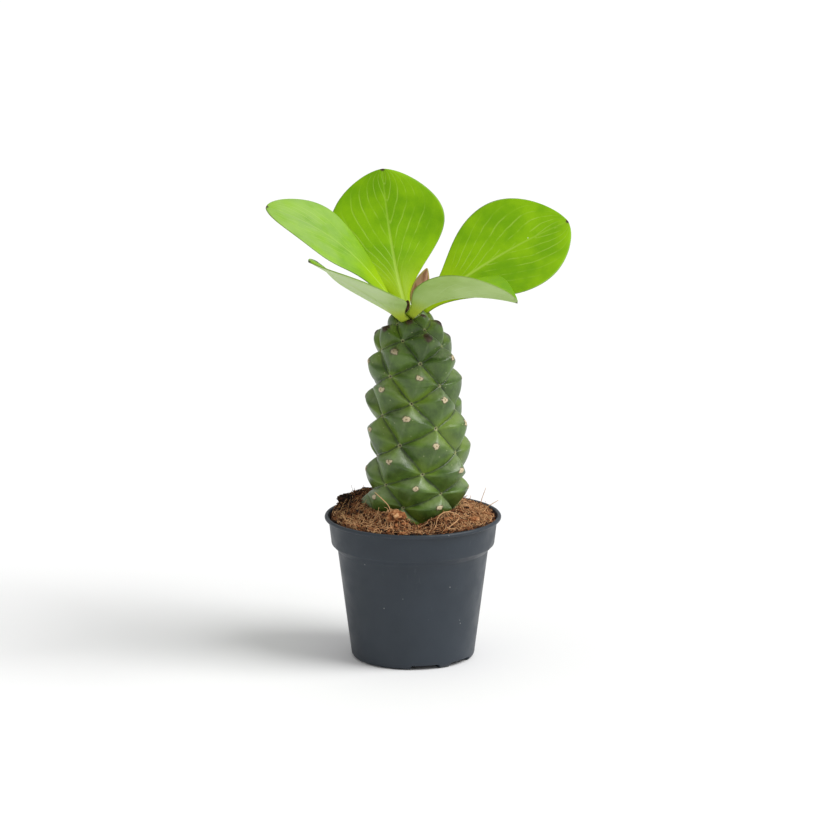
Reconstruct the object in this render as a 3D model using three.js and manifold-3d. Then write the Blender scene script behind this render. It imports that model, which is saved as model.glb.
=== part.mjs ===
// A small potted euphorbia: a green stem covered in tubercles, with a tuft of
// five obovate leaves, standing in a loose coir mix in a round nursery pot.
// Millimetres, +Z up. The origin is the centre of the pot's underside.
// Bearings are degrees from the front (-Y), positive towards +X.
import * as THREE from 'three';
import { mergeVertices } from 'three/addons/utils/BufferGeometryUtils.js';
import { ImprovedNoise } from 'three/addons/math/ImprovedNoise.js';
import Module from 'manifold-3d';

const GAP = 0.3;                 // clearance between touching pieces

// Pot
const POT_HEIGHT = 49.0;
const RIM_R = 30.0;              // outside of the rolled lip
const BASE_R = 20.3;             // outside of the foot ring at the floor
const FOOT_HEIGHT = 1.3;         // the floor's underside above the ground
const FLOOR_TOP = 2.3;
const PAD_R = 6.0;               // central pad, level with the feet
const POT_SEGMENTS = 60;
const NOTCH_BEARINGS = [12, 52, 192, 232];
const NOTCH_WIDTH = 9.6;
const DRAIN_BEARINGS = [32, 122, 212, 302];
const DRAIN_R = 2.5;
const DRAIN_CIRCLE_R = 12.0;

// Potting mix
const MIX_LEVEL = 45.9;          // where it meets the stem
const MIX_COLLAR = 3.2;          // rise from there to the ridge round the stem
const MIX_SEGMENTS = 44;
const MIX_RINGS = 9;
const POCKET_R = 13.5;           // pocket that holds the buried end of the stem
const POCKET_FLOOR = 33.0;

// Stem
const STEM_FOOT_Z = POCKET_FLOOR + GAP + 0.3;
const STEM_FOOT_R = 12.9;
const STEM_SEGMENTS = 64;
const BARREL_R = 14.0;           // groove radius at the fattest level
const BARREL_Z = 66.0;
const BARREL_TAPER = 2.0;        // narrowing at the shoulder
const SHOULDER_Z = 96.0;
const CROWN_HEIGHT = 22.6;       // groove surface from the shoulder to the apex
const CROWN_POWER = 2.2;
const STEM_BOW = 2.4;            // sideways bow of the axis at BOW_Z
const BOW_Z = 74.0;
const BOW_SPREAD = 17.0;
const STEM_LEAN = -0.3;

// Tubercles lie on a golden-angle spiral: neighbours are 3 and 5 steps apart
const STEP_3_DEG = 52.5;         // 3 golden angles, less one turn
const STEP_5_DEG = -32.5;        // 5 golden angles, less two turns
const FIRST_BEARING = 4.0;       // bearing of tubercle 0
const FIRST_Z = 97.0;            // level of its centre
const TUBERCLE_RISE = 1.92;      // height gained by each tubercle
const FOOT_CROWDING = 0.24;      // share by which the rise shrinks near the mix
const TUBERCLE_HEIGHT = 4.0;
const SCAR_OFFSET = 0.17;        // the scar sits above the middle of its cell
const BULGE_POWER = 1.8;

// Leaves: az, sweep = bearing at the base and its change; lift, droop = slope
// at the base and its fall; roll, twist = tilt across the blade
const LEAVES = {
  leaf_back: {
    base: [-2.8, 6.4, 119.4], az: 214, sweep: -17, lift: 64, droop: -10,
    length: 48, width: 39, roll: 8, twist: 12, fold: 2, cup: 0.03,
  },
  leaf_left: {
    base: [-5.9, -1.4, 119.6], az: -84, sweep: -2, lift: 63, droop: 46,
    length: 58, width: 37.5, roll: 11, twist: 6, fold: 2, cup: -0.06,
  },
  leaf_front_left: {
    base: [-3.8, -6.8, 118.6], az: -29, sweep: -46, lift: 31, droop: 0,
    length: 46, width: 42, roll: 2, twist: -1, fold: -4, cup: -0.02,
  },
  leaf_right: {
    base: [4.2, 4.4, 119.6], az: 105, sweep: 3, lift: 37, droop: 18,
    length: 57.5, width: 40, roll: -38, twist: 0, fold: -4, cup: -0.03,
  },
  leaf_front_right: {
    base: [0.2, -6.0, 119.6], az: 34, sweep: 49, lift: 36, droop: 50,
    length: 43.5, width: 38, roll: 1, twist: 13, fold: -20, cup: -0.01,
  },
};
const LEAF_RINGS = 16;
const LEAF_AROUND = 14;
const PETIOLE_WIDTH = 2.4;
const PETIOLE_THICKNESS = 2.0;
const BLADE_THICKNESS = 1.1;
const TIP_THICKNESS = 0.7;

const YOUNG_LEAF = {
  base: [0.9, -0.8, 119.9], az: 85, sweep: -5, lift: 76, droop: 2,
  length: 15, width: 6.6, roll: 64, twist: 0, fold: -14, cup: 0.0,
};
const DRIED_SCALES = {
  dried_scale_left: {
    base: [-3.4, -4.4, 119.3], az: -30, sweep: 0, lift: 65, droop: 30,
    length: 4.4, width: 2.8, roll: 0, twist: 10, fold: -12, cup: 0.0,
  },
  dried_scale_middle: {
    base: [-2.2, -2.4, 119.9], az: 10, sweep: 8, lift: 74, droop: 20,
    length: 4.6, width: 2.2, roll: 10, twist: 0, fold: -10, cup: 0.0,
  },
};

const COLOURS = {
  pot: 0x3b444c, potting_mix: 0x5f4530, stem: 0x4a7038, upper: 0x69a81c,
  under: 0x9dbb78, bract: 0xa87863, scale: 0x4a2e1e, bark: 0x54351f,
  coir: 0xb98b57,
};

const rad = THREE.MathUtils.degToRad;
const noise = new ImprovedNoise();

function material(colour, roughness) {
  return new THREE.MeshStandardMaterial({ color: colour, roughness });
}

function named(name, geometry, colour, roughness = 0.6) {
  const mesh = new THREE.Mesh(geometry, material(colour, roughness));
  mesh.name = name;
  return mesh;
}

function indexedGeometry(points, triangles) {
  const geometry = new THREE.BufferGeometry();
  geometry.setAttribute('position', new THREE.Float32BufferAttribute(points.flat(), 3));
  geometry.setIndex(triangles.flat());
  geometry.computeVertexNormals();
  return geometry;
}

// Rings of points, each wound anticlockwise seen from the last ring, joined by
// a wall and closed at both ends by a fan about the ring's middle.
function ringSolid(rings) {
  const around = rings[0].length;
  const points = rings.flat();
  const triangles = [];
  for (let i = 0; i + 1 < rings.length; i += 1) {
    for (let j = 0; j < around; j += 1) {
      const a = i * around + j;
      const b = i * around + (j + 1) % around;
      triangles.push([a, b, b + around], [a, b + around, a + around]);
    }
  }
  const middle = (ring) => [0, 1, 2].map((axis) => (
    ring.reduce((sum, point) => sum + point[axis], 0) / around));
  points.push(middle(rings[0]), middle(rings[rings.length - 1]));
  const last = (rings.length - 1) * around;
  for (let j = 0; j < around; j += 1) {
    const k = (j + 1) % around;
    triangles.push([rings.length * around, k, j]);
    triangles.push([rings.length * around + 1, last + j, last + k]);
  }
  return indexedGeometry(points, triangles);
}

// Lathe profile [radius, height] pairs turned about +Z.
function turned(profile, segments) {
  const points = profile.map(([r, z]) => new THREE.Vector2(r, z));
  const geometry = new THREE.LatheGeometry(points, segments);
  geometry.rotateX(Math.PI / 2);
  return geometry;
}

function prepared(geometry) {
  geometry.deleteAttribute('normal');
  geometry.deleteAttribute('uv');
  return mergeVertices(geometry, 1e-4);
}

function toSolid(wasm, geometry) {
  const clean = prepared(geometry);
  return new wasm.Manifold(new wasm.Mesh({
    numProp: 3,
    vertProperties: new Float32Array(clean.attributes.position.array),
    triVerts: new Uint32Array(clean.index.array),
  }));
}

function fromSolid(solid) {
  const mesh = solid.getMesh();
  const geometry = new THREE.BufferGeometry();
  geometry.setAttribute('position', new THREE.BufferAttribute(mesh.vertProperties, 3));
  geometry.setIndex(new THREE.BufferAttribute(mesh.triVerts, 1));
  geometry.computeVertexNormals();
  return geometry;
}

function atBearing(geometry, bearing, radius, z) {
  geometry.rotateZ(rad(bearing));
  geometry.translate(radius * Math.sin(rad(bearing)), -radius * Math.cos(rad(bearing)), z);
  return geometry;
}

function potGeometry(wasm) {
  const outside = [
    [0, 0], [PAD_R, 0], [PAD_R + 0.5, FOOT_HEIGHT], [17.6, FOOT_HEIGHT], [18.1, 0],
    [BASE_R, 0], [20.8, 0.3], [21.05, 1.0], [25.65, 37.3], [27.7, 39.4], [28.7, 47.7],
    [29.6, 47.9], [RIM_R, 48.3], [RIM_R, 48.7], [29.6, POT_HEIGHT],
  ];
  const inside = [
    [28.9, POT_HEIGHT], [28.4, 48.6], [27.6, 40.1], [26.8, 39.5], [24.7, 37.4],
    [20.3, 2.9], [19.7, FLOOR_TOP], [0, FLOOR_TOP],
  ];
  let pot = toSolid(wasm, turned([...outside, ...inside], POT_SEGMENTS));
  for (const bearing of NOTCH_BEARINGS) {
    const cutter = new THREE.BoxGeometry(NOTCH_WIDTH, 5.0, 2 * FOOT_HEIGHT);
    pot = pot.subtract(toSolid(wasm, atBearing(cutter, bearing, BASE_R - 0.7, 0)));
  }
  for (const bearing of DRAIN_BEARINGS) {
    const cutter = new THREE.CylinderGeometry(DRAIN_R, DRAIN_R, 6, 20);
    cutter.rotateX(Math.PI / 2);
    pot = pot.subtract(toSolid(wasm, atBearing(cutter, bearing, DRAIN_CIRCLE_R, 2)));
  }
  return fromSolid(pot);
}

function mound(x, y, cx, cy, height, spread) {
  return height * Math.exp(-((x - cx) ** 2 + (y - cy) ** 2) / (2 * spread ** 2));
}

// Level of the mix: a ridge round the stem, heaped at the back left, crumbly.
function mixLevel(x, y) {
  const radius = Math.hypot(x, y);
  const crumbs = 0.5 * noise.noise(x * 0.3, y * 0.3, 1.7) + 0.3 * noise.noise(x * 0.8, y * 0.8, 5.1);
  const collar = MIX_COLLAR * THREE.MathUtils.smoothstep(radius, 13.5, 17.5);
  const heaps = mound(x, y, -18.5, 13.5, 4.0, 6.5) + mound(x, y, -6.5, -16.8, 2.0, 2.8);
  const dip = mound(x, y, 3, -19.5, -2.4, 4);
  const outer = THREE.MathUtils.smoothstep(radius, 15, 20);
  const dish = -1.3 * THREE.MathUtils.smoothstep(radius, 18, 27);
  return MIX_LEVEL + collar + (heaps + dip) * outer + crumbs + dish;
}

function mixGeometry() {
  const wall = [[19.3, FLOOR_TOP + GAP], [19.9, 3.3], [24.3, 37.8], [26.5, 40.0], [27.2, 40.6]];
  const topR = 27.8;
  const rings = [];
  const ringAt = (radius, level) => {
    const ring = [];
    for (let j = 0; j < MIX_SEGMENTS; j += 1) {
      const angle = (2 * Math.PI * j) / MIX_SEGMENTS;
      const x = radius * Math.cos(angle);
      const y = radius * Math.sin(angle);
      ring.push([x, y, level === undefined ? mixLevel(x, y) : level]);
    }
    rings.push(ring);
  };
  wall.forEach(([radius, level]) => ringAt(radius, level));
  for (let i = 0; i < MIX_RINGS; i += 1) {
    ringAt(topR + ((POCKET_R - topR) * i) / (MIX_RINGS - 1));
  }
  ringAt(POCKET_R, POCKET_FLOOR);
  return ringSolid(rings);
}

// The stem's groove surface: barrel below the shoulder, superelliptic crown above.
function stemProfile() {
  const profile = [[STEM_FOOT_R - 2.0, STEM_FOOT_Z], [STEM_FOOT_R, STEM_FOOT_Z + 1.5]];
  const barrelR = (z) => BARREL_R - BARREL_TAPER * ((z - BARREL_Z) / (SHOULDER_Z - BARREL_Z)) ** 2;
  for (let z = 46.6; z < SHOULDER_Z; z += 1.9) {
    const settle = THREE.MathUtils.smoothstep(z, 45, 52);
    profile.push([STEM_FOOT_R + (barrelR(z) - STEM_FOOT_R) * settle, z]);
  }
  const shoulderR = barrelR(SHOULDER_Z);
  const steps = 15;
  for (let i = 0; i < steps; i += 1) {
    const angle = (Math.PI / 2) * (i / steps) ** 1.15;
    profile.push([
      shoulderR * Math.cos(angle) ** (2 / CROWN_POWER),
      SHOULDER_Z + CROWN_HEIGHT * Math.sin(angle) ** (2 / CROWN_POWER),
    ]);
  }
  return profile;
}

// Growth index along the profile: steps shrink with the radius in the crown.
function growthIndices(profile) {
  const indices = [0];
  for (let i = 1; i < profile.length; i += 1) {
    const [r0, z0] = profile[i - 1];
    const [r1, z1] = profile[i];
    const crowding = 1 - FOOT_CROWDING * (1 - THREE.MathUtils.smoothstep((z0 + z1) / 2, 60, 72));
    const rise = TUBERCLE_RISE * crowding * Math.max(((r0 + r1) / 2 / BARREL_R) ** 0.9, 0.2);
    indices.push(indices[i - 1] + Math.hypot(r1 - r0, z1 - z0) / rise);
  }
  const first = profile.findIndex(([, z]) => z > FIRST_Z);
  return indices.map((index) => index - indices[first]);
}

// Height of the tubercle surface above the grooves, as a share of the full height.
function tubercleBulge(index, bearing) {
  const turn = bearing - FIRST_BEARING;
  const u = (-STEP_5_DEG * index + 5 * turn) / 360;
  const v = (STEP_3_DEG * index - 3 * turn) / 360;
  const a = u - Math.round(u);
  const b = v - Math.round(v);
  const above = 0.5 - SCAR_OFFSET;
  const below = 0.5 + SCAR_OFFSET;
  const inward = Math.min((0.5 - a) / above, (0.5 + a) / below, (0.5 - b) / above, (0.5 + b) / below);
  return 1 - (1 - inward) ** BULGE_POWER;
}

function axisOffset(z) {
  return STEM_LEAN + STEM_BOW * Math.exp(-(((z - BOW_Z) / BOW_SPREAD) ** 2));
}

function stemGeometry() {
  const profile = stemProfile();
  const indices = growthIndices(profile);
  const rings = profile.map(([radius, z], i) => {
    const before = profile[Math.max(i - 1, 0)];
    const after = profile[Math.min(i + 1, profile.length - 1)];
    const slope = Math.atan2(before[0] - after[0], after[1] - before[1]);
    const above = THREE.MathUtils.smoothstep(z, 47, 54);
    const young = Math.min((radius / 12) ** 0.8, 1);
    const height = TUBERCLE_HEIGHT * above * young;
    const offset = axisOffset(z) * THREE.MathUtils.smoothstep(z, 46, 60);
    const ring = [];
    for (let j = 0; j < STEM_SEGMENTS; j += 1) {
      const bearing = (360 * j) / STEM_SEGMENTS;
      const lift = height * tubercleBulge(indices[i], bearing);
      const r = radius + lift * Math.cos(slope);
      ring.push([
        offset + r * Math.sin(rad(bearing)),
        -r * Math.cos(rad(bearing)),
        z + lift * Math.sin(slope),
      ]);
    }
    return ring;
  });
  return ringSolid(rings);
}

function bladeHalfWidth(t, width) {
  const blade = Math.max(Math.sin(Math.PI * t ** 1.5), 0) ** (1.15 - 0.52 * t);
  return PETIOLE_WIDTH * Math.sqrt(1 - t) + (width / 2 - 0.6 * PETIOLE_WIDTH) * blade;
}

function bladeThickness(t) {
  const blade = THREE.MathUtils.lerp(BLADE_THICKNESS, TIP_THICKNESS, t);
  return THREE.MathUtils.lerp(PETIOLE_THICKNESS, blade, THREE.MathUtils.smoothstep(t, 0, 0.3));
}

// A leaf: rings of a lens section swept along a bending midrib. cross runs
// across the blade and under points out of its lower side.
function leafGeometry(leaf, widthOf = bladeHalfWidth, thicknessOf = bladeThickness) {
  const rings = [];
  const middle = new THREE.Vector3(...leaf.base);
  const direction = (t) => {
    const bearing = rad(leaf.az + leaf.sweep * t);
    const slope = rad(leaf.lift - leaf.droop * t);
    return new THREE.Vector3(
      Math.cos(slope) * Math.sin(bearing), -Math.cos(slope) * Math.cos(bearing), Math.sin(slope));
  };
  let previous = 0;
  for (let i = 0; i < LEAF_RINGS; i += 1) {
    const t = Math.min(1 - (1 - i / (LEAF_RINGS - 1)) ** 1.35, 0.995);
    middle.addScaledVector(direction((previous + t) / 2), (t - previous) * leaf.length);
    previous = t;
    const along = direction(t);
    const bearing = rad(leaf.az + leaf.sweep * t);
    const level = new THREE.Vector3(Math.cos(bearing), Math.sin(bearing), 0);
    const roll = rad(leaf.roll + leaf.twist * t);
    const down = level.clone().cross(along);
    const cross = level.multiplyScalar(Math.cos(roll)).addScaledVector(down, Math.sin(roll));
    const under = cross.clone().cross(along);
    const half = widthOf(t, leaf.width);
    const thickness = thicknessOf(t);
    const ring = [];
    for (let j = 0; j < LEAF_AROUND; j += 1) {
      const angle = (2 * Math.PI * j) / LEAF_AROUND;
      const v = Math.cos(angle);
      const sink = half * (Math.abs(v) * Math.sin(rad(leaf.fold)) + leaf.cup * v * v);
      const point = middle.clone()
        .addScaledVector(cross, half * v * Math.cos(rad(leaf.fold)))
        .addScaledVector(under, sink - (thickness / 2) * Math.sin(angle));
      ring.push(point.toArray());
    }
    rings.push(ring);
  }
  return ringSolid(rings);
}

function scaleHalfWidth(t, width) {
  return 0.25 + (width / 2 - 0.25) * Math.sin(Math.PI * t ** 0.8) ** 0.8;
}

function scaleThickness() {
  return 0.7;
}

// A rough lump set down on the mix with a small clearance.
function chunkGeometry(x, y, size, bearing, seed) {
  const geometry = prepared(new THREE.IcosahedronGeometry(1, 1));
  const position = geometry.attributes.position;
  const point = new THREE.Vector3();
  for (let i = 0; i < position.count; i += 1) {
    point.fromBufferAttribute(position, i);
    const rough = 1 + 0.3 * noise.noise(point.x * 1.7 + seed, point.y * 1.7, point.z * 1.7);
    point.multiplyScalar(rough).multiply(new THREE.Vector3(...size));
    position.setXYZ(i, point.x, point.y, point.z);
  }
  geometry.rotateZ(rad(bearing));
  geometry.translate(x, y, 0);
  let lift = -Infinity;
  for (let i = 0; i < position.count; i += 1) {
    lift = Math.max(lift, mixLevel(position.getX(i), position.getY(i)) - position.getZ(i));
  }
  geometry.translate(0, 0, lift + 2 * GAP);
  geometry.computeVertexNormals();
  return geometry;
}

// A coir fibre through [x, y, height above the mix] points.
function fibreGeometry(points, radius) {
  const path = new THREE.CatmullRomCurve3(points.map(([x, y, up]) => (
    new THREE.Vector3(x, y, mixLevel(x, y) + radius + 2 * GAP + up))));
  const section = new THREE.Shape();
  section.absarc(0, 0, radius, 0, 2 * Math.PI, false);
  const geometry = new THREE.ExtrudeGeometry(section, {
    steps: 12, curveSegments: 6, bevelEnabled: false, extrudePath: path,
  });
  return prepared(geometry);
}

const CHUNKS = {
  bark_chunk_left: { x: -22.5, y: 9.0, size: [2.9, 2.0, 1.2], bearing: 30, seed: 1.3 },
  bark_chunk_back: { x: -14.5, y: 19.5, size: [3.2, 2.0, 1.3], bearing: -20, seed: 4.9 },
  coir_chunk_front: { x: -5.0, y: -20.0, size: [2.6, 2.0, 1.0], bearing: 15, seed: 8.2 },
  coir_chunk_right: { x: 21.0, y: -9.0, size: [2.4, 1.7, 1.0], bearing: 60, seed: 11.6 },
};
const FIBRES = {
  coir_fibre_arc: { r: 0.22, points: [[7.6, -19, 0], [9, -17.8, 2.2], [12.5, -17, 3.8], [17.2, -15.4, 2.2]] },
  coir_fibre_front: { r: 0.2, points: [[18.6, -17.0, 3.0], [16.2, -19.6, 1.8], [11.6, -23.4, 0.4]] },
  coir_fibre_left: { r: 0.2, points: [[-13.6, -16.4, 9.6], [-10.6, -18.4, 6.0], [-8.4, -20.6, 2.4]] },
  coir_fibre_upright: { r: 0.2, points: [[22.6, 2, 0], [23.2, 1.2, 4.2], [24.8, 0, 9.4]] },
  coir_fibre_right: { r: 0.2, points: [[21.4, -2.6, 0.2], [24, -3, 2.4], [28.8, -3.5, 6.2]] },
};

function assemble(wasm) {
  const plant = new THREE.Group();
  plant.name = 'potted_euphorbia';
  plant.add(named('pot', potGeometry(wasm), COLOURS.pot, 0.5));
  plant.add(named('potting_mix', mixGeometry(), COLOURS.potting_mix, 0.95));
  plant.add(named('stem', stemGeometry(), COLOURS.stem, 0.5));
  for (const [name, leaf] of Object.entries(LEAVES)) {
    plant.add(named(name, leafGeometry(leaf), COLOURS.upper, 0.4));
  }
  plant.add(named('young_leaf', leafGeometry(YOUNG_LEAF, scaleHalfWidth, scaleThickness), COLOURS.bract));
  for (const [name, scale] of Object.entries(DRIED_SCALES)) {
    plant.add(named(name, leafGeometry(scale, scaleHalfWidth, scaleThickness), COLOURS.scale, 0.9));
  }
  for (const [name, chunk] of Object.entries(CHUNKS)) {
    const { x, y, size, bearing, seed } = chunk;
    const colour = name.startsWith('bark') ? COLOURS.bark : COLOURS.coir;
    plant.add(named(name, chunkGeometry(x, y, size, bearing, seed), colour, 0.95));
  }
  for (const [name, fibre] of Object.entries(FIBRES)) {
    plant.add(named(name, fibreGeometry(fibre.points, fibre.r), COLOURS.coir, 0.9));
  }
  return plant;
}

const wasm = await Module();
wasm.setup();
export default assemble(wasm);
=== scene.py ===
"""A small potted euphorbia: tubercled stem, five obovate leaves, coir mix, nursery pot.

Shapes are worked out in millimetres in the CAD frame (+Z up, -Y the front) and
turned into metres when a piece is made.
"""
import math
import random

import bmesh
import bpy
import numpy as np
from mathutils import Matrix, Vector, noise

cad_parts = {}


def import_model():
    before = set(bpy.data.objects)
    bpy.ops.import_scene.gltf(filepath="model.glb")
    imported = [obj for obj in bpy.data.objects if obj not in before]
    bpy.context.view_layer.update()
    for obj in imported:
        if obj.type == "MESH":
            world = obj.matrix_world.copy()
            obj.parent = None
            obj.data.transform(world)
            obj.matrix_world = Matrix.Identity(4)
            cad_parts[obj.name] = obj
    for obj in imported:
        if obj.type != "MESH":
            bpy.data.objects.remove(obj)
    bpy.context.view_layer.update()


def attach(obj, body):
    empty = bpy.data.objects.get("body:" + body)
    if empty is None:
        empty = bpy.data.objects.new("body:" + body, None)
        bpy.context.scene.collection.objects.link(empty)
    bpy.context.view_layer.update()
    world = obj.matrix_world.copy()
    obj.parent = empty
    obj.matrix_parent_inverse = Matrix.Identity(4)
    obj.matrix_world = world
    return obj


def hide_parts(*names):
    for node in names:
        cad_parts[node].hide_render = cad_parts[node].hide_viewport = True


MM = 0.001
RANDOM_SEED = 11

# Camera: a long lens that looks down by about 13 degrees; millimetres and degrees
CAMERA_TARGET = (2.4, 0.0, 81.8)
CAMERA_DISTANCE = 1600.0
CAMERA_ELEVATION = 12.9
CAMERA_LENS = 202.8

# Light: an even white room and one wide lamp, high on the right
WORLD_STRENGTH = 0.58
KEY_STRENGTH = 2.6
KEY_TOWARDS = (1.0, -0.35, 1.1)
KEY_SPREAD = 38.0

# Pot
POT_HEIGHT = 49.0
RIM_R = 30.0
LIP_R = 0.7
BASE_R = 20.3
FOOT_HEIGHT = 1.3
FLOOR_TOP = 2.3
PAD_R = 6.0
POT_SEGMENTS = 288
NOTCH_BEARINGS = (12, 52, 192, 232)
NOTCH_WIDTH = 9.6
DRAIN_BEARINGS = (32, 122, 212, 302)
DRAIN_R = 2.5
DRAIN_CIRCLE_R = 12.0

# Potting mix
MIX_LEVEL = 48.5
MIX_EDGE_R = 27.9
MIX_CENTRE_R = 11.0
MIX_FLOOR = 40.6
CRUMB_COUNT = 950
STRAND_COUNT = 2000

# Stem
STEM_FOOT_Z = 40.0
STEM_FOOT_R = 12.9
BARREL_R = 14.0
BARREL_Z = 66.0
BARREL_TAPER = 2.0
SHOULDER_Z = 96.0
CROWN_HEIGHT = 22.6
CROWN_POWER = 2.2
STEM_BOW = 2.4
BOW_Z = 74.0
BOW_SPREAD = 17.0
STEM_LEAN = -0.3
STEM_RINGS = 250
STEM_AROUND = 300

# Tubercles sit on a golden-angle spiral: neighbours are 3 and 5 steps apart
STEP_3_DEG = 52.5
STEP_5_DEG = -32.5
FIRST_BEARING = 4.0
FIRST_Z = 97.0
TUBERCLE_RISE = 1.92
FOOT_CROWDING = 0.24
TUBERCLE_HEIGHT = 4.0
SCAR_OFFSET = 0.17
BULGE_POWER = 1.8
RIDGE_SOFTNESS = 0.05

# Leaves: az, sweep = bearing at the base and its change along the leaf;
# lift, droop = slope at the base and its fall; roll, twist = tilt across
LEAVES = {
    "leaf_back": dict(
        base=(-2.8, 6.4, 119.4), az=214, sweep=-17, lift=64, droop=-10,
        length=48, width=39, roll=8, twist=12, fold=2, cup=0.03),
    "leaf_left": dict(
        base=(-5.9, -1.4, 119.6), az=-84, sweep=-2, lift=63, droop=46,
        # the last value is the strength of a painted sheen on the upper face
        length=58, width=37.5, roll=11, twist=6, fold=2, cup=-0.06, painted_sheen=0.5),
    "leaf_front_left": dict(
        base=(-3.8, -6.8, 118.6), az=-29, sweep=-46, lift=31, droop=0,
        length=46, width=42, roll=2, twist=-1, fold=-4, cup=-0.02),
    "leaf_right": dict(
        base=(4.2, 4.4, 119.6), az=105, sweep=3, lift=37, droop=18,
        length=57.5, width=40, roll=-38, twist=0, fold=-4, cup=-0.03),
    "leaf_front_right": dict(
        base=(0.2, -6.0, 119.6), az=34, sweep=49, lift=36, droop=50,
        length=43.5, width=38, roll=1, twist=13, fold=-20, cup=-0.01),
}
YOUNG_LEAF = dict(
    base=(0.9, -0.8, 119.9), az=85, sweep=-5, lift=76, droop=2,
    length=15, width=6.6, roll=64, twist=0, fold=-14, cup=0.0)
DRIED_SCALES = {
    "dried_scale_left": dict(
        base=(-3.4, -4.4, 119.3), az=-30, sweep=0, lift=65, droop=30,
        length=4.4, width=2.8, roll=0, twist=10, fold=-12, cup=0.0),
    "dried_scale_middle": dict(
        base=(-2.2, -2.4, 119.9), az=10, sweep=8, lift=74, droop=20,
        length=4.6, width=2.2, roll=10, twist=0, fold=-10, cup=0.0),
}
LEAF_ROWS = 110
LEAF_COLUMNS = 96
PETIOLE_WIDTH = 2.4
PETIOLE_THICKNESS = 2.0
BLADE_THICKNESS = 1.0
TIP_THICKNESS = 0.6
VEIN_SPACING = 0.15
VEIN_RISE = 0.85
ROOT_LENGTH = 1.8


# ---------------------------------------------------------------- small maths

def smoothstep(value, low, high):
    """0 below low, 1 above high, smooth between."""
    share = np.clip((value - low) / (high - low), 0.0, 1.0)
    return share * share * (3.0 - 2.0 * share)


def lerp(a, b, share):
    return a + (b - a) * share


def fractal(points, size, octaves=3, seed=0.0):
    """Smooth noise of about -1 to 1 at each point; size is its grain in mm."""
    offset = Vector((seed, 2.3 * seed, -seed))
    return np.array([
        noise.fractal(Vector(point) / size + offset, 1.0, 2.0, octaves)
        for point in points])


# ---------------------------------------------------------------- mesh making

def grid_faces(rows, columns, wrap):
    """Quads over rows x columns of points; wrap joins the last column to the first."""
    across = columns if wrap else columns - 1
    i, j = np.meshgrid(np.arange(rows - 1), np.arange(across), indexing="ij")
    a = i * columns + j
    b = i * columns + (j + 1) % columns
    return np.stack([a, b, b + columns, a + columns], -1).reshape(-1, 4).tolist()


def cap_faces(start, columns, centre, flipped):
    """A fan from the point centre to the ring that begins at start."""
    ring = [start + j for j in range(columns)]
    fan = [(centre, ring[j], ring[(j + 1) % columns]) for j in range(columns)]
    return [face[::-1] for face in fan] if flipped else fan


def ring_solid(rings):
    """Points and faces of a closed body through rings (rows, columns, 3)."""
    rows, columns, _ = rings.shape
    points = rings.reshape(-1, 3)
    ends = np.stack([rings[0].mean(0), rings[-1].mean(0)])
    faces = grid_faces(rows, columns, wrap=True)
    faces += cap_faces(0, columns, rows * columns, flipped=True)
    faces += cap_faces((rows - 1) * columns, columns, rows * columns + 1, flipped=False)
    return np.concatenate([points, ends]), faces


def make_object(name, points, faces, material, attributes=None):
    """A smooth mesh object from millimetre points, with point attributes."""
    mesh = bpy.data.meshes.new(name)
    mesh.from_pydata((np.asarray(points) * MM).tolist(), [], faces)
    for label, values in (attributes or {}).items():
        layer = mesh.attributes.new(label, "FLOAT", "POINT")
        layer.data.foreach_set("value", np.asarray(values, dtype=np.float32))
    mesh.polygons.foreach_set("use_smooth", [True] * len(mesh.polygons))
    mesh.update()
    obj = bpy.data.objects.new(name, mesh)
    bpy.context.scene.collection.objects.link(obj)
    obj.data.materials.append(material)
    return obj


def add_piece(obj, slot, *nodes):
    """Puts obj on the part: it rides on the root and stands for the CAD nodes."""
    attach(obj, "root")
    if nodes:
        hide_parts(*nodes)
    return obj


# ---------------------------------------------------------------- shader making

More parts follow.
